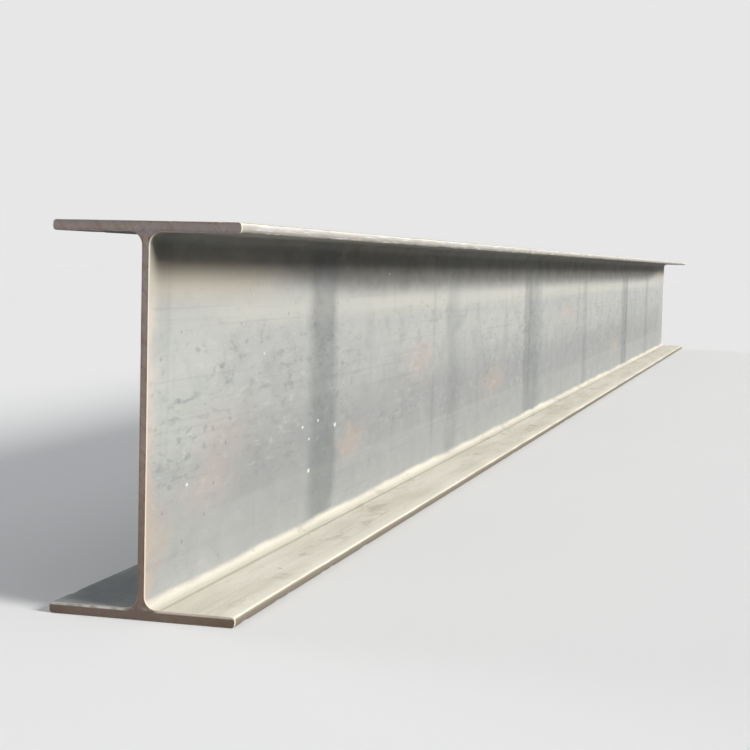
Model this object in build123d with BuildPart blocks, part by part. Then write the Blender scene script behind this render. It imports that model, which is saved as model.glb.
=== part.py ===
from build123d import *
import os

# Hot rolled steel H beam, narrow-flange section 396 x 199 x 7 x 11, in a six metre stock length.
# Sizes are in millimetres. The beam lies along X on its lower flange, with the web upright,
# and its origin is at the middle of the lower flange's underside.

# Rolled section
section_depth = 396.0
flange_width = 199.0
web_thickness = 7.0
flange_thickness = 11.0
root_radius = 13.0  # where the web runs into a flange
outer_toe_radius = 3.5  # flange tip, on the outside of the section
inner_toe_radius = 3.0  # flange tip, on the side that faces the other flange

# Length
stock_length = 6000.0
saw_edge_break = 0.4  # the sawn ends' arrises, as the saw and handling leave them

# Worked out from the sizes above
half_depth = section_depth / 2
half_width = flange_width / 2
half_web = web_thickness / 2
inner_face = half_depth - flange_thickness  # height of a flange's inner face

# One quarter of the section, drawn from the flange's middle round its tip and root to the web,
# then mirrored to the other flange half and to the other flange
sawn_end = Plane(origin=(-stock_length / 2, 0, half_depth), x_dir=(0, 1, 0), z_dir=(1, 0, 0))

with BuildPart() as h_beam:
    with BuildSketch(sawn_end) as section:
        with BuildLine() as outline:
            outer_face = Line((0, half_depth), (half_width - outer_toe_radius, half_depth))
            outer_toe = RadiusArc(
                outer_face @ 1, (half_width, half_depth - outer_toe_radius), outer_toe_radius
            )
            tip = Line(outer_toe @ 1, (half_width, inner_face + inner_toe_radius))
            inner_toe = RadiusArc(
                tip @ 1, (half_width - inner_toe_radius, inner_face), inner_toe_radius
            )
            flange_inside = Line(inner_toe @ 1, (half_web + root_radius, inner_face))
            root = RadiusArc(flange_inside @ 1, (half_web, inner_face - root_radius), -root_radius)
            web_side = Line(root @ 1, (half_web, 0))
            mirror(about=Plane.YZ)
            mirror(about=Plane.XZ)
        make_face()
    extrude(amount=stock_length)
    ends = h_beam.faces().filter_by(Axis.X)
    chamfer(ends.edges(), saw_edge_break)

h_beam.part.label = "h_beam"

os.makedirs("parts", exist_ok=True)
export_step(h_beam.part, "parts/h_beam.step")
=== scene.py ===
import math
import random
from types import SimpleNamespace

import bpy
from mathutils import Matrix, Vector, noise


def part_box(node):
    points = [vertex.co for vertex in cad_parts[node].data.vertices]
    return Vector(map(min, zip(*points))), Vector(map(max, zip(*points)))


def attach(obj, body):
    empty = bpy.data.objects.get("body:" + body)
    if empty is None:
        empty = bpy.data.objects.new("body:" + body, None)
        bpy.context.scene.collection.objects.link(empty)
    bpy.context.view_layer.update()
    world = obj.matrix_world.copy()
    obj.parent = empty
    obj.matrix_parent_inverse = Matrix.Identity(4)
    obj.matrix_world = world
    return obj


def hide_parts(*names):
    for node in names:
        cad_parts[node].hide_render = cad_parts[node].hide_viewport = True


# Hot rolled steel H beam lying on its lower flange. Sizes are in metres, with X along the beam,
# Y across its flanges and Z up its web. The overall sizes come from the frame.
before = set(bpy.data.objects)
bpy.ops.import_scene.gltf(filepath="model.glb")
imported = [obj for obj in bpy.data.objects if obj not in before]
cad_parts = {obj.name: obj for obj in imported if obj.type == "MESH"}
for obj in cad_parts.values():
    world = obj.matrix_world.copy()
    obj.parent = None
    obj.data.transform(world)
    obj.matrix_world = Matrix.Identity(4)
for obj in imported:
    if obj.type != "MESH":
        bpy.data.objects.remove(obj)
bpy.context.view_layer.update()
_, box_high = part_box("h_beam")
half_length = box_high[0]
half_width = box_high[1]
depth = box_high[2]
half_depth = depth / 2

# Rolled section
half_web = 0.0035
flange_thickness = 0.011
root_radius = 0.013
outer_toe_radius = 0.0035
inner_toe_radius = 0.003
toe_crown = 0.0003  # how far the corners of a flange tip stay inside its middle
inner_face = half_depth - flange_thickness

# Camera, at the photograph's viewing angle, with the whole beam in view
camera_place = Vector((-4.44, -0.62, 0.36))
camera_aim = Vector((-2.12, 0.0, 0.19))
camera_roll = math.radians(1.4)
camera_lens = 76.0


def add_camera():
    data = bpy.data.cameras.new("camera")
    data.lens = camera_lens
    camera = bpy.data.objects.new("camera", data)
    bpy.context.scene.collection.objects.link(camera)
    facing = (camera_aim - camera_place).to_track_quat("-Z", "Y").to_matrix().to_4x4()
    camera.matrix_world = Matrix.Translation(camera_place) @ facing @ Matrix.Rotation(camera_roll, 4, "Z")
    bpy.context.scene.camera = camera


# Section outline
def run(start, end, steps):
    """Points on a straight stretch, evenly spaced, without its first point."""
    (y0, z0), (y1, z1) = start, end
    return [(y0 + (y1 - y0) * i / steps, z0 + (z1 - z0) * i / steps) for i in range(1, steps + 1)]


def turn(centre, radius, start, end, steps):
    """Points on an arc between two angles in degrees, without its first point."""
    angles = [math.radians(start + (end - start) * i / steps) for i in range(1, steps + 1)]
    return [(centre[0] + radius * math.cos(a), centre[1] + radius * math.sin(a)) for a in angles]


def quarter_outline():
    """From the middle of the upper flange's outer face to the web's middle, as (y, z, part)."""
    toe_edge = half_width - toe_crown
    outer_toe = (toe_edge - outer_toe_radius, half_depth - outer_toe_radius)
    inner_toe = (toe_edge - inner_toe_radius, inner_face + inner_toe_radius)
    tip_middle = (half_width, (outer_toe[1] + inner_toe[1]) / 2)
    root = (half_web + root_radius, inner_face - root_radius)
    stretches = [
        ("outside", [(0.0, half_depth)]),
        ("outside", run((0.0, half_depth), (outer_toe[0], half_depth), 8)),
        ("toe", turn(outer_toe, outer_toe_radius, 90, 0, 5)),
        ("toe", [tip_middle, (toe_edge, inner_toe[1])]),
        ("toe", turn(inner_toe, inner_toe_radius, 0, -90, 4)),
        ("inside", run((inner_toe[0], inner_face), (root[0], inner_face), 8)),
        ("root", turn(root, root_radius, 90, 180, 7)),
        ("web", run((half_web, root[1]), (half_web, 0.0), 10)),
    ]
    return [(y, z, part) for part, points in stretches for y, z in points]


def whole_outline():
    """The closed section, anticlockwise as seen from the beam's -X end, as (y, z, part)."""
    quarter = quarter_outline()
    lower = [(y, -z, part) for y, z, part in reversed(quarter[:-1])]
    half = quarter + lower
    other = [(-y, z, part) for y, z, part in reversed(half[1:-1])]
    return [(y, z + half_depth, part) for y, z, part in half + other]


def outline_normals(outline):
    """The outward direction at each point of the section."""
    found = []
    for i in range(len(outline)):
        y0, z0, _ = outline[i - 1]
        y1, z1, _ = outline[(i + 1) % len(outline)]
        found.append(Vector((z0 - z1, y1 - y0)).normalized())
    return found


# Stations along the beam
end_steps = (0.0, 0.0003, 0.0007, 0.0012, 0.002, 0.003, 0.0045, 0.0065, 0.009)
fine_step = 0.004
fine_length = 0.6
coarse_step = 0.024
step_growth = 1.06


def distances_from_end(fine):
    """Distances of the stations from one end to the middle. They start fine and get coarser."""
    found = list(end_steps)
    step = fine_step
    while found[-1] + step < half_length - coarse_step / 2:
        found.append(found[-1] + step)
        if found[-1] > fine:
            step = min(step * step_growth, coarse_step)
    return found


def stations():
    near = distances_from_end(fine_length)
    far = distances_from_end(end_steps[-1])
    return [-half_length + d for d in near] + [half_length - d for d in reversed(far)]


# Marks of rolling, sawing and handling on the steel's shape
wave_depth = 0.0002
wave_scale = (2.3, 9.0, 9.0)  # waves to a metre along X, Y and Z
arris_depth = 0.0004  # how much is taken off a sawn edge's arris
arris_length = 0.0009
burr_height = 0.0006
burr_least = 0.35  # the burr is this share of its height at the lowest places, and up to 1 more elsewhere
burr_rise = (0.0, 0.0006)  # distances from the end between which the burr rises
burr_fall = (0.0012, 0.0035)  # and those between which it falls off again
burr_scale = 160.0  # bumps of the burr to a metre
burr_apart = 50.0  # far enough apart in the noise that the two ends' burrs differ
nick_seed = 11
nick_count = 80
nick_first = 0.02  # no nick lies nearer to an end than this
nick_reach = 0.006
nick_spread = 0.004  # how much the reach varies
nick_growth = 0.018  # how much the reach grows between the distances in nick_zone
nick_zone = (0.3, 1.5)
nick_depths = (0.0002, 0.0009)


def smooth_step(value, low, high):
    t = min(max((value - low) / (high - low), 0.0), 1.0)
    return t * t * (3 - 2 * t)


def make_nicks():
    """Knocks in the flange tips, as (x, side, level, reach, depth). Most are near the ends."""
    draw = random.Random(nick_seed)
    found = []
    for number in range(nick_count):
        from_end = nick_first + (half_length - nick_first) * draw.random() ** 2

        # Two in three lie in the -X half
        x = from_end - half_length if number % 3 else half_length - from_end
        reach = nick_reach + nick_growth * smooth_step(from_end, *nick_zone) + nick_spread * draw.random()
        side = draw.choice((-1, 1))
        level = draw.choice((-1, 1))
        found.append((x, side, level, reach, draw.uniform(*nick_depths)))
    return found


def sink_at(x, y, z, part, nicks):
    """How far the surface lies inside the true section here."""
    from_end = half_length - abs(x)
    wave = noise.noise([value * scale for value, scale in zip((x, y, z), wave_scale)])
    sink = wave_depth * (0.5 + 0.5 * wave)
    if part in ("outside", "toe"):
        sink += arris_depth * (1 - smooth_step(from_end, 0.0, arris_length))
    else:
        ragged = 0.5 + 0.5 * noise.noise((math.copysign(burr_apart, x), y * burr_scale, z * burr_scale))
        lift = smooth_step(from_end, *burr_rise) * (1 - smooth_step(from_end, *burr_fall))
        sink -= burr_height * (burr_least + ragged) * lift
    if part == "toe":
        for nick_x, side, level, reach, cut in nicks:
            if abs(x - nick_x) < 3 * reach and side * y > 0 and level * (z - half_depth) > 0:
                sink += cut * math.exp(-(((x - nick_x) / reach) ** 2))
    return sink


# Flat map of the surface. The sides lie in two rows, cut at row_cut, and the sawn ends above them.
map_name = "OFBake"
map_gap = 0.006
row_cut = -0.8
row_height = 0.457
end_scale = 1.17  # map widths to a metre


def girths(outline):
    """Distance along the outline to each of its points, from 0 to 1, and back to the first."""
    found = [0.0]
    for i in range(len(outline)):
        (y0, z0, _), (y1, z1, _) = outline[i], outline[(i + 1) % len(outline)]
        found.append(found[-1] + math.hypot(y1 - y0, z1 - z0))
    return [length / found[-1] for length in found]


def row_spots(places, start, stop, base):
    """Map places of the stations from start to stop, as (u, v of the outline's first point)."""
    first, last = places[start], places[stop]
    spots = {}
    for s in range(start, stop + 1):
        spots[s] = (map_gap + (1 - 2 * map_gap) * (places[s] - first) / (last - first), base)
    return spots


def end_parts(outline):
    """The section as three outlines: a flange with its fillets, the web and the other flange."""
    heights = [z for _, z, _ in outline]
    root_low = half_depth - inner_face + root_radius
    root_high = half_depth + inner_face - root_radius
    near = 1e-6
    upper = [i for i, z in enumerate(heights) if z > root_high - near]
    lower = [i for i, z in enumerate(heights) if z < root_low + near]
    web = [i for i, z in enumerate(heights) if root_low - near < z < root_high + near]
    return upper, lower, web


def surface_points(outline, places):
    """The section at every station, with its waves, burrs, arrises and nicks."""
    normals = outline_normals(outline)
    nicks = make_nicks()
    points = []
    for x in places:
        for (y, z, part), normal in zip(outline, normals):
            sink = sink_at(x, y, z, part, nicks)
            points.append((x, y - normal.x * sink, z - normal.y * sink))
    return points


def side_faces(outline, places):
    """The faces between the stations, and the map places of their corners."""
    faces, spots = [], []
    count = len(outline)
    round_map = girths(outline)
    cut = min(range(len(places)), key=lambda s: abs(places[s] - row_cut))
    rows = (
        row_spots(places, 0, cut, map_gap),
        row_spots(places, cut, len(places) - 1, 2 * map_gap + row_height),
    )
    for s in range(len(places) - 1):
        row = rows[s >= cut]
        for i in range(count):
            a, b = s * count + i, s * count + (i + 1) % count
            faces.append((a, a + count, b + count, b))
            (u0, base), (u1, _) = row[s], row[s + 1]
            v0, v1 = base + row_height * round_map[i], base + row_height * round_map[i + 1]
            spots += [(u0, v0), (u1, v0), (u1, v1), (u0, v1)]
    return faces, spots


def end_faces(outline, station_count):
    """Three faces on each sawn end, and the map places of their corners."""
    faces, spots = [], []
    upper, lower, web = end_parts(outline)
    flange_base = 3 * map_gap + 2 * row_height
    web_base = flange_base + map_gap + end_scale * (flange_thickness + root_radius)
    for number, first in enumerate((0, (station_count - 1) * len(outline))):
        for part, points in enumerate((upper, lower, web)):
            ring = list(reversed(points)) if number else points
            faces.append(tuple(first + i for i in ring))
            for i in ring:
                y, z, _ = outline[i]
                if points is web:
                    u = map_gap + number * (map_gap + end_scale * depth) + end_scale * z
                    v = web_base + end_scale * (y + half_web)
                else:
                    slot = 2 * number + part
                    u = map_gap + slot * (map_gap + 2 * end_scale * half_width) + end_scale * (y + half_width)
                    v = flange_base + end_scale * min(z, depth - z)
                spots.append((u, v))
    return faces, spots


def build_beam():
    """The beam as one mesh, with the rolled surface in the first material slot and the ends in the second."""
    outline = whole_outline()
    places = stations()
    sides, side_spots = side_faces(outline, places)
    ends, end_spots = end_faces(outline, len(places))
    mesh = bpy.data.meshes.new("h_beam_steel")
    mesh.from_pydata(surface_points(outline, places), [], sides + ends)
    mesh.polygons.foreach_set("use_smooth", [True] * len(sides) + [False] * len(ends))
    mesh.polygons.foreach_set("material_index", [0] * len(sides) + [1] * len(ends))
    layer = mesh.uv_layers.new(name=map_name)
    layer.uv.foreach_set("vector", [number for spot in side_spots + end_spots for number in spot])
    mesh.update()
    beam = bpy.data.objects.new("h_beam_steel", mesh)
    bpy.context.scene.collection.objects.link(beam)
    return beam


# Materials
relief_height = 0.0006  # height of the bumps in the materials, before their own strengths


def colour(red, green, blue):
    """A colour given as it shows on a screen, from 0 to 255, turned linear for the shader."""
    def linear(c):
        c /= 255
        return c / 12.92 if c <= 0.04045 else ((c + 0.055) / 1.055) ** 2.4
    return (linear(red), linear(green), linear(blue), 1.0)


class Recipe:
    """The nodes of a material or of the world. An input is a number, a colour or a node's output."""

    def __init__(self, owner):
        self.owner = owner
        owner.use_nodes = True
        self.nodes = owner.node_tree.nodes
        self.links = owner.node_tree.links
        self.shader = self.nodes.get("Principled BSDF") or self.nodes["Background"]
        self.place = self.add("ShaderNodeTexCoord").outputs["Object"]
        self.normal = self.add("ShaderNodeNewGeometry").outputs["Normal"]

    def add(self, kind, inputs=None, **settings):
        node = self.nodes.new(kind)
        for name, value in settings.items():
            setattr(node, name, value)
        for name, value in (inputs or {}).items():
            self.feed(node.inputs[name], value)
        return node

    def feed(self, socket, value):
        if isinstance(value, bpy.types.NodeSocket):
            self.links.new(value, socket)
        else:
            socket.default_value = value

    def set(self, name, value):
        self.feed(self.shader.inputs[name], value)

    def split(self, vector):
        return self.add("ShaderNodeSeparateXYZ", {"Vector": vector}).outputs

    def math(self, operation, first, second=0.0):
        return self.add("ShaderNodeMath", {0: first, 1: second}, operation=operation).outputs[0]

    def times(self, *values):
        product = values[0]
        for value in values[1:]:
            product = self.math("MULTIPLY", product, value)
        return product

    def plus(self, *values):
        total = values[0]
        for value in values[1:]:
            total = self.math("ADD", total, value)
        return total

    def swing(self, value, amount):
        """Turns a noise about 0.5 into one about 0, of the amount given."""
        return self.times(self.math("SUBTRACT", value, 0.5), amount)

    def stretch(self, vector, scale):
        return self.add("ShaderNodeVectorMath", {0: vector, 1: scale}, operation="MULTIPLY").outputs[0]

    def noise(self, vector, scale, detail=3.0, roughness=0.5, distortion=0.0):
        inputs = {"Vector": vector, "Scale": scale, "Detail": detail}
        inputs.update({"Roughness": roughness, "Distortion": distortion})
        return self.add("ShaderNodeTexNoise", inputs).outputs["Fac"]

    def streaks(self, scales, detail, roughness=0.5, distortion=0.0):
        """Noise with a scale of its own along X, Y and Z."""
        return self.noise(self.stretch(self.place, scales), 1.0, detail, roughness, distortion)

    def noise_1d(self, value, scale, detail=3.0, roughness=0.5):
        inputs = {"W": value, "Scale": scale, "Detail": detail, "Roughness": roughness}
        return self.add("ShaderNodeTexNoise", inputs, noise_dimensions="1D").outputs["Fac"]

    def radius_about(self, axis):
        """Distance from a line that runs along the beam at (y, z)."""
        across = self.stretch(self.place, (0.0, 1.0, 1.0))
        inputs = {0: across, 1: (0.0, *axis)}
        return self.add("ShaderNodeVectorMath", inputs, operation="DISTANCE").outputs["Value"]

    def cells(self, vector, scale):
        """Distance to the nearest cell's middle and that cell's random number."""
        node = self.add("ShaderNodeTexVoronoi", {"Vector": vector, "Scale": scale})
        return node.outputs["Distance"], self.split(node.outputs["Color"])[0]

    def ease(self, value, low, high):
        """0 up to low, 1 from high on, and smooth between."""
        inputs = {"Value": value, "From Min": low, "From Max": high}
        return self.add("ShaderNodeMapRange", inputs, interpolation_type="SMOOTHSTEP").outputs[0]

    def between(self, value, low, high, soft):
        """1 between low and high, and 0 beyond them, with soft limits."""
        above_low = self.ease(value, low - soft, low + soft)
        return self.times(above_low, self.ease(value, high + soft, high - soft))

    def span(self, value, low, high):
        """Turns 0 to 1 into low to high."""
        return self.add("ShaderNodeMapRange", {"Value": value, "To Min": low, "To Max": high}).outputs[0]

    def mix(self, amount, first, second):
        inputs = {"Factor": amount, "A": first, "B": second}
        return self.add("ShaderNodeMix", inputs, data_type="RGBA").outputs["Result"]

    def coat(self, tone, screen_colour, *amounts):
        """Lays a colour over a tone, as thickly as the product of the amounts."""
        return self.mix(self.times(*amounts), tone, colour(*screen_colour))

    def blend(self, amount, first, second):
        inputs = {"Factor": amount, "A": first, "B": second}
        return self.add("ShaderNodeMix", inputs, data_type="FLOAT").outputs["Result"]

    def warp(self, vector, scale, amount):
        """Moves the coordinates about, so that spots and streaks lose their even outlines."""
        inputs = {"Vector": vector, "Scale": scale, "Detail": 2.0}
        shift = self.stretch(self.add("ShaderNodeTexNoise", inputs).outputs["Color"], (amount,) * 3)
        return self.add("ShaderNodeVectorMath", {0: vector, 1: shift}, operation="ADD").outputs[0]

    def patch(self, place, centre, reach, soft):
        """1 inside an oval about a centre and 0 outside it, where soft is the share that fades."""
        apart = self.add("ShaderNodeVectorMath", {0: place, 1: centre}, operation="SUBTRACT").outputs[0]
        apart = self.stretch(apart, tuple(1 / size for size in reach))
        length = self.add("ShaderNodeVectorMath", {0: apart}, operation="LENGTH").outputs["Value"]
        return self.ease(length, 1.0, 1.0 - soft)

    def specks(self, vector, scale, size, share):
        """Small spots, one in some of the cells."""
        distance, number = self.cells(vector, scale)
        chosen = self.ease(number, 1 - share, 1.001 - share)
        return self.times(self.ease(distance, size, size * 0.6), chosen)

    def roughen(self, height, strength):
        inputs = {"Height": height, "Strength": strength, "Distance": relief_height}
        self.set("Normal", self.add("ShaderNodeBump", inputs).outputs["Normal"])


# Rolled surface
scale_relief = 0.45
left_shift = 0.43  # the smudges of the +Y side stand this much nearer the -X end
patch_warp = 0.06  # how far the outlines of the warm patches are bent

# Smudges down the web, as (distance from the -X end, half width, softness towards -X and +X, strength)
smudges = (
    (0.595, 0.056, 0.03, 0.02, 1.0),
    (1.42, 0.05, 0.03, 0.05, 0.45),
    (2.31, 0.11, 0.02, 0.07, 0.7),
    (3.27, 0.04, 0.03, 0.03, 0.5),
    (4.36, 0.09, 0.06, 0.02, 0.75),
    (5.2, 0.06, 0.03, 0.05, 0.5),
)

# Warm patches on the web, as (distance from the -X end, height, half length, half height, strength)
patches = (
    (0.02, 0.083, 0.07, 0.06, 0.35),
    (0.17, 0.112, 0.11, 0.045, 0.22),
    (0.22, 0.165, 0.12, 0.06, 0.16),
    (0.73, 0.108, 0.1, 0.03, 0.36),
    (1.16, 0.2, 0.16, 0.05, 0.25),
    (1.83, 0.12, 0.22, 0.04, 0.3),
    (2.9, 0.24, 0.25, 0.04, 0.25),
    (4.05, 0.1, 0.2, 0.04, 0.35),
)

# Pale drops on the web, as (distance from the -X end, height, half height)
drops = (
    (0.11, 0.122, 0.0026),
    (0.51, 0.145, 0.0028),
    (0.539, 0.085, 0.0038),
    (0.539, 0.127, 0.0026),
    (0.578, 0.148, 0.003),
    (0.658, 0.135, 0.0042),
)


def rolled_fields(r):
    """Zones of the section and noises that several layers of the rolled surface use."""
    x, y, z = r.split(r.place)
    facing = r.split(r.normal)[2]
    off_web = r.math("ABSOLUTE", y)
    return SimpleNamespace(
        z=z,
        facing=facing,
        off_web=off_web,
        from_start=r.plus(x, half_length),
        from_end=r.math("SUBTRACT", half_length, r.math("ABSOLUTE", x)),
        left=r.ease(y, 0.0, 0.002),
        on_web=r.ease(off_web, 0.02, 0.008),
        on_top=r.times(r.ease(z, depth - 0.0022, depth - 0.0012), r.ease(facing, 0.5, 0.9)),
        inside=r.times(r.ease(z, 0.002, 0.006), r.ease(z, depth - 0.002, depth - 0.006)),
        toe=r.ease(off_web, half_width - 0.003, half_width - 0.0008),
        slow=r.streaks((0.9, 5.0, 5.0), 4.0, 0.55),
        drift=r.streaks((5.0, 30.0, 30.0), 6.0, 0.62),
        cloud=r.streaks((14.0, 24.0, 24.0), 7.0, 0.6, 0.4),
        gate=r.noise(r.place, 3.1, 2.0),
        grain=r.noise(r.place, 380.0, 4.0, 0.6),
        rust_cloud=r.noise(r.place, 42.0, 7.0, 0.68),
    )


def mill_scale(r, f):
    """Tone of the bare scale: slow changes, then clouds a hand wide, then a fine grain."""
    tone = r.mix(r.ease(f.slow, 0.3, 0.7), colour(180, 182, 181), colour(190, 191, 187))
    lower = r.ease(r.plus(f.z, r.times(f.slow, 0.16)), 0.36, 0.2)
    tone = r.coat(tone, (160, 162, 161), lower, 0.75)
    tone = r.coat(tone, (152, 155, 155), r.ease(f.cloud, 0.45, 0.7), 0.35)
    tone = r.coat(tone, (192, 193, 190), r.ease(f.cloud, 0.45, 0.25), 0.3)
    return r.coat(tone, (134, 135, 133), r.ease(f.grain, 0.5, 0.75), 0.22)


def web_zones(r, f, tone):
    """A darker band over the web's smooth foot, a paler one high up, and painted shade under the flange."""
    away = r.ease(f.from_end, 0.08, 0.34)
    level = r.plus(f.z, r.swing(f.slow, 0.02))
    band = r.times(r.ease(level, 0.081, 0.091), r.ease(level, 0.21, 0.12), away)
    tone = r.coat(tone, (148, 149, 150), band, r.span(f.cloud, 0.5, 1.0), 0.62)
    tone = r.coat(tone, (150, 152, 152), r.ease(f.z, 0.1, 0.06), away, f.on_web, 0.32)
    pale = r.times(r.between(f.z, 0.284, 0.316, 0.014), r.span(r.ease(f.from_end, 0.1, 0.3), 0.3, 1.0))
    tone = r.coat(tone, (218, 215, 202), pale, r.span(f.cloud, 0.1, 0.7))
    tone = r.coat(tone, (208, 213, 206), r.ease(f.from_end, 0.3, 0.1), r.ease(f.z, 0.1, 0.2), 0.2)
    # Painted shade under the upper flange, reaching lower and darker away from the end
    under_flange = r.plus(f.z, r.times(r.ease(f.from_end, 0.05, 0.9), 0.03))
    painted_flange_shade = r.times(f.inside, r.ease(under_flange, depth - 0.064, depth - 0.03))
    deeper = r.span(r.ease(f.from_end, 0.1, 0.7), 1.0, 1.3)
    return r.coat(tone, (112, 110, 103), painted_flange_shade, r.span(f.cloud, 0.5, 0.8), deeper)


def rolled_marks(r, f, tone):
    """Dents and pocks rolled in along the beam, with painted light and shade on the dents, and faint streaks.
    Also returns the dents' height.
    """
    dent = r.streaks((30.0, 105.0, 105.0), 4.0, 0.6, 0.35)
    worked = r.span(r.ease(f.gate, 0.4, 0.6), 0.3, 1.0)
    worked = r.times(worked, r.span(r.between(f.z, 0.1, 0.29, 0.025), 0.3, 1.0))
    rippled = r.times(r.between(f.from_start, 0.28, 0.55, 0.07), r.between(f.z, 0.1, 0.27, 0.03))
    dented = r.math("MAXIMUM", worked, rippled)
    # The dark and light tones follow the dents' height: painted shade and painted highlight on the dents,
    # beside their bump
    tone = r.coat(tone, (132, 135, 135), r.ease(dent, 0.53, 0.7), dented, 0.42)
    tone = r.coat(tone, (204, 205, 202), r.ease(dent, 0.44, 0.3), dented, 0.34)
    bent_place = r.warp(r.stretch(r.place, (0.5, 1.0, 1.0)), 110.0, 0.011)
    tone = r.coat(tone, (120, 124, 124), r.specks(bent_place, 80.0, 0.34, 0.2), worked, 0.34)
    streak = r.streaks((1.4, 190.0, 190.0), 3.0, 0.6)
    tone = r.coat(tone, (138, 140, 138), r.ease(streak, 0.52, 0.75), 0.2)
    return tone, r.times(dent, r.span(dented, 0.25, 0.6))


def smudged_web(r, f, tone):
    """Smudges and runs down the web."""
    sway = r.swing(r.streaks((2.0, 9.0, 9.0), 3.0), 0.05)
    along = r.plus(f.from_start, sway, r.times(f.left, left_shift))
    smudge = 0.0
    for middle, reach, soft_before, soft_after, strength in smudges:
        start = r.ease(along, middle - reach - soft_before, middle - reach + soft_before)
        stop = r.ease(along, middle + reach + soft_after, middle + reach - soft_after)
        smudge = r.plus(smudge, r.times(start, stop, strength))
    run_down = r.ease(r.streaks((13.0, 3.0, 0.8), 4.0, 0.6), 0.56, 0.72)
    smudge = r.plus(r.times(smudge, r.span(f.cloud, 0.55, 1.1)), r.times(run_down, 0.35))
    return r.coat(tone, (112, 116, 118), smudge, f.on_web, f.inside, 0.62)


def slate_and_painted_shade_side(r, f, tone):
    """Slate blue scale with scuffs on the +Y side, which was kept from the dust; its dark slate tone is
    partly painted shade.
    """
    side = r.times(f.left, f.inside)
    tone = r.coat(tone, (82, 93, 102), side, r.span(f.cloud, 0.4, 0.95))
    scuff = r.streaks((4.0, 60.0, 60.0), 6.0, 0.7, 0.6)
    tone = r.coat(tone, (142, 148, 150), side, r.ease(scuff, 0.58, 0.7), 0.4)
    return r.coat(tone, (98, 84, 74), side, r.ease(scuff, 0.4, 0.3), 0.35)


def stained_web(r, f, tone):
    """A tan stain high on the web near the ends, and warm patches."""
    tan = r.times(r.between(f.z, 0.318, 0.362, 0.016), f.on_web, r.ease(f.from_end, 0.55, 0.25))
    tone = r.coat(tone, (192, 176, 148), tan, r.span(f.slow, 0.5, 1.1), 0.55)
    bent_place = r.warp(r.place, 17.0, patch_warp)
    shift = patch_warp / 2  # how far the bent place lies from the true one on average
    warm = 0.0
    for distance, height, half_long, half_high, strength in patches:
        centre = (distance - half_length + shift, shift, height + shift)
        patch = r.patch(bent_place, centre, (half_long, 0.08, half_high), 0.9)
        warm = r.plus(warm, r.times(patch, strength))
    return r.coat(tone, (206, 178, 156), warm, r.span(f.cloud, 0.3, 1.3), r.span(f.left, 1.0, 0.2))


def spotted_web(r, f, tone):
    """Pits, and drops of something pale."""
    pit = r.specks(r.warp(r.place, 300.0, 0.004), 110.0, 0.3, 0.045)
    tone = r.coat(tone, (100, 99, 96), pit, r.ease(f.gate, 0.4, 0.55), 0.42)
    drop = r.specks(r.place, 34.0, 0.07, 0.06)
    for distance, height, half_high in drops:
        centre = (distance - half_length, -half_web, height)
        drop = r.math("MAXIMUM", drop, r.patch(r.place, centre, (1.8 * half_high, 0.004, half_high), 0.7))
    return r.coat(tone, (236, 235, 230), drop, 0.85)


def saw_heat_with_shade(r, f, tone):
    """A lighter, pinkish zone that the saw's heat left behind the sawn ends, kept faint on the +Y side and
    high under the upper flange as painted shade.
    """
    reach = r.plus(f.from_end, r.swing(f.rust_cloud, 0.05))
    # Fainter on the +Y side and under the upper flange: painted shade
    heat = r.times(r.ease(reach, 0.029, -0.002), f.inside, r.span(f.left, 0.78, 0.13))
    heat = r.times(heat, r.span(r.ease(f.z, 0.3, 0.345), 1.0, 0.3))
    heat_tone = r.mix(r.ease(f.z, 0.1, 0.25), colour(194, 177, 158), colour(219, 206, 195))
    return r.mix(heat, tone, heat_tone)


def flange_tips(r, f, tone):
    """Tips brighter in their upper half, as wear near the ends and a painted highlight along the arris, and
    browner below, with fine scrapes along them.
    """
    upper = r.ease(f.z, half_depth - 0.01, half_depth + 0.01)
    # The upper part of each tip is lighter: a painted highlight along the arris, and wear near the ends
    above = r.blend(upper, r.ease(f.z, 0.006, 0.0105), r.ease(f.z, depth - 0.0095, depth - 0.002))
    wear_and_highlight = r.times(above, r.span(f.cloud, 0.55, 1.2), r.span(r.ease(f.from_end, 0.24, 0.1), 0.75, 1.0))
    low_tip = r.mix(wear_and_highlight, colour(134, 124, 108), colour(174, 166, 149))
    high_tip = r.mix(wear_and_highlight, colour(166, 161, 153), colour(224, 223, 219))
    tip = r.mix(upper, low_tip, high_tip)
    scrape = r.streaks((16.0, 1.0, 430.0), 3.0, 0.6)
    tip = r.coat(tip, (150, 144, 135), r.ease(scrape, 0.52, 0.66), 0.34)
    tip = r.coat(tip, (246, 246, 248), r.ease(scrape, 0.47, 0.34), 0.5, upper)
    return r.mix(r.times(f.toe, 0.92), tone, tip)


def rusted(r, f, tone):
    """Rust in spots and along the tips. Also returns where it is."""
    blot = r.ease(f.rust_cloud, 0.6, 0.7)
    spots = r.times(r.ease(f.gate, 0.58, 0.7), 0.8)
    rust = r.times(blot, r.math("MAXIMUM", r.times(f.toe, 0.6), spots))
    return r.coat(tone, (136, 98, 74), rust, 0.6), rust


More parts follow.
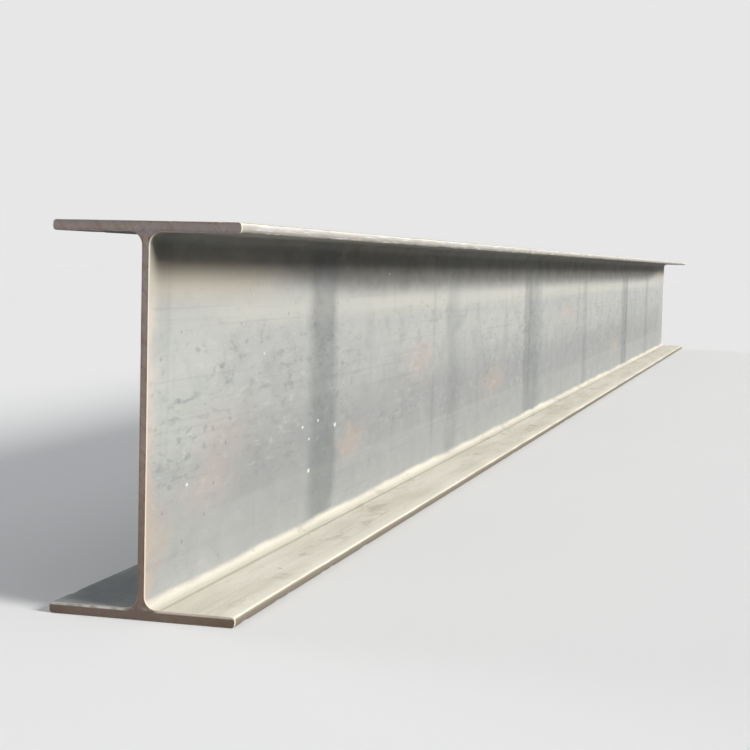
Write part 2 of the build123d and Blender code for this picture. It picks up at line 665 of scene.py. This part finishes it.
def dusted(r, f, tone):
    """Cream dust on what faces up, rubbed and stained. Also returns where it is."""
    rub = r.streaks((2.2, 150.0, 150.0), 4.0, 0.65)
    powder = r.mix(r.ease(f.drift, 0.35, 0.65), colour(230, 225, 208), colour(242, 237, 224))
    powder = r.coat(powder, (225, 219, 205), r.ease(f.off_web, 0.0175, 0.0125))
    powder = r.coat(powder, (182, 176, 158), r.ease(rub, 0.54, 0.72), 0.24)
    powder = r.coat(powder, (164, 162, 154), f.on_top, r.span(f.drift, 0.62, 1.1))

    # A dirty line runs along the foot of the fillet
    foot = r.times(r.between(f.off_web, 0.0178, 0.0225, 0.002), r.span(f.on_top, 1.0, 0.0))
    powder = r.coat(powder, (172, 160, 136), foot, r.span(f.drift, 0.6, 1.3), 0.55)

    # Grain, crumbs and stains, and a brighter ledge by the flange tips
    powder = r.coat(powder, (166, 157, 136), r.ease(f.grain, 0.5, 0.74), 0.26)
    crumb = r.specks(r.warp(r.place, 160.0, 0.006), 62.0, 0.2, 0.1)
    powder = r.coat(powder, (128, 116, 98), crumb, 0.5)
    stain = r.streaks((9.0, 26.0, 26.0), 7.0, 0.66, 0.5)
    powder = r.coat(powder, (172, 164, 138), r.ease(stain, 0.55, 0.67), 0.42)
    ledge = r.times(r.ease(f.off_web, 0.076, 0.09), r.span(f.on_top, 1.0, 0.3))
    powder = r.coat(powder, (248, 243, 228), ledge, 0.6)

    # Thinner where it was rubbed off, and on the +Y side, where the thinner dust is partly painted shade
    bare = r.times(r.ease(rub, 0.42, 0.3), r.ease(f.gate, 0.45, 0.62), 0.35)
    cover = r.math("SUBTRACT", r.math("SUBTRACT", 0.95, bare), r.times(f.left, f.inside, 0.86))
    up = r.ease(r.plus(f.facing, r.swing(f.drift, 0.9)), 0.2, 0.75)
    dust = r.times(up, cover, r.span(f.drift, 0.78, 1.1))
    return r.mix(dust, tone, powder), dust


def rolled_steel():
    """Mill scale with scuffs and smudges, dust on what faces up, rust and worn edges, and painted shade and
    highlights in places.
    """
    r = Recipe(bpy.data.materials.new("rolled_steel"))
    f = rolled_fields(r)
    tone = web_zones(r, f, mill_scale(r, f))
    tone, dents = rolled_marks(r, f, tone)
    for layer in (smudged_web, slate_and_painted_shade_side, stained_web, spotted_web, saw_heat_with_shade, flange_tips):
        tone = layer(r, f, tone)
    tone, rust = rusted(r, f, tone)
    tone, dust = dusted(r, f, tone)

    # The sawn edge's burr is bright, and brighter on the -Y side as a painted highlight
    tone = r.coat(tone, (232, 220, 205), r.ease(f.from_end, 0.0042, 0.0024), r.span(f.left, 0.8, 0.35))

    r.set("Base Color", tone)
    dull = r.math("MAXIMUM", dust, r.math("MAXIMUM", rust, r.times(f.toe, 0.6)))
    r.set("Metallic", r.span(dull, 0.1, 0.0))
    r.set("Roughness", r.plus(r.blend(dull, 0.62, 0.9), r.swing(f.cloud, 0.35)))
    r.set("Specular IOR Level", 0.1)
    height = r.plus(r.times(f.grain, 0.3), r.times(f.cloud, 0.5), dents, r.times(rust, 0.5))
    r.roughen(height, scale_relief)
    return r.owner


# Sawn ends. The saw's axis lies off the section, as (y, z), so its marks are shallow arcs.
saw_axis = (-0.62, 0.86)
saw_relief = 0.5


def sawn_fields(r):
    """Zones of the sawn section and noises that several of its layers use."""
    _, y, z = r.split(r.place)
    from_middle = r.math("ABSOLUTE", r.math("SUBTRACT", z, half_depth))
    radius = r.radius_about(saw_axis)
    return SimpleNamespace(
        y=y,
        z=z,
        from_middle=from_middle,
        off_web=r.math("ABSOLUTE", y),
        in_flange=r.ease(from_middle, inner_face - 0.006, inner_face + 0.001),
        low=r.ease(z, flange_thickness + 0.008, flange_thickness - 0.001),
        left=r.ease(y, -0.01, 0.01),
        cloud=r.noise(r.place, 55.0, 6.0, 0.6),
        film=r.noise(r.place, 170.0, 6.0, 0.7, 0.4),
        grit=r.noise(r.place, 950.0, 3.0, 0.6),
        marks=r.noise_1d(radius, 900.0, 3.0, 0.7),
        broad=r.noise_1d(radius, 150.0, 2.0, 0.5),
    )


def rust_film(r, f):
    """Purplish where the rust film is thin, scraped grey in places, and browner and darker low down."""
    high = r.ease(f.z, 0.19, 0.33)
    blotch = r.noise(r.place, 17.0, 3.0, 0.5)
    tone = r.mix(high, colour(177, 150, 132), colour(170, 156, 152))
    tone = r.coat(tone, (148, 143, 148), r.ease(blotch, 0.42, 0.6), r.span(high, 0.3, 0.75))
    tone = r.coat(tone, (134, 102, 84), r.ease(f.cloud, 0.48, 0.62), 0.7)
    tone = r.coat(tone, (124, 98, 88), r.ease(f.film, 0.5, 0.68), 0.6)
    tone = r.coat(tone, (192, 182, 178), r.ease(f.film, 0.46, 0.3), 0.5)
    tone = r.coat(tone, (104, 86, 78), r.ease(f.grit, 0.52, 0.72), 0.4)
    tone = r.coat(tone, (130, 110, 92), r.ease(f.z, 0.17, 0.07), 0.55)
    low_tone = r.mix(f.left, colour(126, 112, 98), colour(112, 106, 108))
    return r.mix(r.times(f.low, 0.35), tone, low_tone)


def plate_middles(r, f, tone):
    """Plate middles lighter than their rims, and a cool sheen along the top of the +Y half."""
    off_middle = r.math("ABSOLUTE", r.math("SUBTRACT", f.from_middle, inner_face + flange_thickness / 2))
    core = r.blend(f.in_flange, r.ease(f.off_web, 0.0036, 0.0014), r.ease(off_middle, 0.0052, 0.0022))
    core = r.times(core, r.span(f.cloud, 0.3, 1.1), r.span(f.low, 1.0, 0.35), 0.68)
    core_tone = r.mix(r.ease(f.z, 0.07, 0.17), colour(170, 150, 134), colour(200, 184, 176))
    tone = r.mix(core, tone, core_tone)
    cool = r.times(r.ease(f.z, depth - 0.005, depth - 0.001), r.ease(f.y, -0.01, 0.03))
    return r.coat(tone, (150, 156, 164), cool, 0.6)


def saw_marks(r, f, tone):
    """Fine and broad arcs of the saw, and spots of fresh rust."""
    tone = r.coat(tone, (112, 94, 86), r.ease(f.marks, 0.5, 0.7), 0.26)
    tone = r.coat(tone, (200, 188, 182), r.ease(f.marks, 0.46, 0.32), 0.22)
    tone = r.coat(tone, (132, 112, 102), r.ease(f.broad, 0.5, 0.7), 0.2)
    orange = r.ease(r.noise(r.place, 64.0, 7.0, 0.7), 0.6, 0.69)
    return r.coat(tone, (154, 104, 72), orange, r.span(f.film, 0.3, 1.0), 0.55)


def sawn_edges(r, f, tone):
    """Thin rims scraped bright in places, a painted highlight along an arris, nicks, and thicker rust in the
    corners.
    """
    to_outer = r.math("SUBTRACT", half_depth, f.from_middle)
    to_inner = r.math("SUBTRACT", f.from_middle, inner_face)
    rim = r.times(r.ease(r.math("MINIMUM", to_outer, to_inner), 0.0013, 0.0005), f.in_flange)
    tone = r.coat(tone, (214, 206, 200), rim, r.ease(f.cloud, 0.45, 0.6), 0.55)

    # A painted highlight along the lower flange's top arris, broken up on the +Y half and creamier on the -Y
    # half
    painted_arris_highlight = r.times(r.ease(f.off_web, 0.012, 0.02), r.between(f.z, 0.0088, 0.02, 0.0005))
    broken = r.span(r.ease(f.cloud, 0.35, 0.55), 0.45, 1.0)
    shown = r.math("MAXIMUM", broken, r.times(r.ease(f.y, 0.01, -0.01), 0.85))
    highlight_tone = r.mix(f.left, colour(252, 240, 224), colour(255, 253, 248))
    tone = r.mix(r.times(painted_arris_highlight, shown), tone, highlight_tone)

    # Nicks along the top edge
    nick = r.specks(r.place, 160.0, 0.42, 0.3)
    top_edge = r.times(r.ease(f.z, depth - 0.0022, depth - 0.0012), r.ease(f.y, -0.01, -0.03))
    tone = r.coat(tone, (232, 230, 226), nick, top_edge)

    # Rust in the lower corners
    corner = r.times(r.ease(f.off_web, 0.06, 0.095), r.ease(f.z, 0.011, 0.004))
    return r.coat(tone, (96, 76, 58), corner, r.span(f.cloud, 0.3, 1.0), 0.6)


def sawn_steel():
    """The sawn ends: rust-filmed steel with fine arcs of saw marks and bright edges, one of them a painted
    highlight.
    """
    r = Recipe(bpy.data.materials.new("sawn_steel"))
    f = sawn_fields(r)
    tone = rust_film(r, f)
    for layer in (plate_middles, saw_marks, sawn_edges):
        tone = layer(r, f, tone)
    r.set("Base Color", tone)
    r.set("Metallic", 0.2)
    r.set("Roughness", r.span(f.cloud, 0.5, 0.8))
    r.roughen(r.plus(r.times(f.marks, 0.8), r.times(f.film, 0.6), r.times(f.grit, 0.35)), saw_relief)
    return r.owner


# Floor, background and light
floor_reach = 60.0
floor_seen = (0.84, 0.84, 0.838, 1.0)
floor_bounce = (0.12, 0.12, 0.12, 1.0)
floor_glow = 0.03  # seen by the camera and in reflections only
world_seen = (0.8, 0.8, 0.8, 1.0)
world_low = (0.075, 0.08, 0.09, 1.0)
world_high = (0.5, 0.51, 0.53, 1.0)
world_rise = (0.2, 0.9)  # heights, on a sphere of radius 1, between which low turns to high

# Lamps, as (name, the light's direction, strength, spread in degrees, tint)
lamps = (
    ("key", (0.2, 0.96, -0.44), 3.7, 18.0, (1.0, 0.985, 0.955)),
    ("back", (-0.3, -0.95, -0.16), 1.3, 40.0, (1.0, 1.0, 1.0)),
)


def seen_rays(r):
    """1 for the rays of the camera, reflections and glass, and 0 for the light that falls on things."""
    path = r.add("ShaderNodeLightPath").outputs
    seen = r.math("MAXIMUM", path["Is Camera Ray"], path["Is Glossy Ray"])
    return r.math("MAXIMUM", seen, path["Is Transmission Ray"])


def add_floor():
    mesh = bpy.data.meshes.new("floor")
    corners = [(x * floor_reach, y * floor_reach, 0.0) for x, y in ((-1, -1), (1, -1), (1, 1), (-1, 1))]
    mesh.from_pydata(corners, [], [range(4)])
    floor = bpy.data.objects.new("floor", mesh)
    bpy.context.scene.collection.objects.link(floor)
    r = Recipe(bpy.data.materials.new("floor"))
    seen = seen_rays(r)
    r.set("Base Color", r.mix(seen, floor_bounce, floor_seen))
    r.set("Roughness", 1.0)
    r.set("Specular IOR Level", 0.0)
    r.set("Emission Color", (1.0, 1.0, 1.0, 1.0))
    r.set("Emission Strength", r.times(seen, floor_glow))
    mesh.materials.append(r.owner)


def add_world():
    world = bpy.data.worlds.new("world")
    bpy.context.scene.world = world
    r = Recipe(world)
    height = r.split(r.add("ShaderNodeTexCoord").outputs["Generated"])[2]
    light = r.mix(r.ease(height, *world_rise), world_low, world_high)
    r.set("Color", r.mix(seen_rays(r), light, world_seen))


def add_lamp(name, toward, strength, spread, tint):
    data = bpy.data.lights.new(name, "SUN")
    data.energy = strength
    data.angle = math.radians(spread)
    data.color = tint
    lamp = bpy.data.objects.new(name, data)
    bpy.context.scene.collection.objects.link(lamp)
    lamp.rotation_mode = "QUATERNION"
    lamp.rotation_quaternion = Vector(toward).to_track_quat("-Z", "Y")


add_camera()
beam = build_beam()
beam.data.materials.append(rolled_steel())
beam.data.materials.append(sawn_steel())
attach(beam, "root")
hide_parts("h_beam")
add_floor()
add_world()
for lamp_row in lamps:
    add_lamp(*lamp_row)

bpy.context.scene.view_settings.view_transform = "Standard"
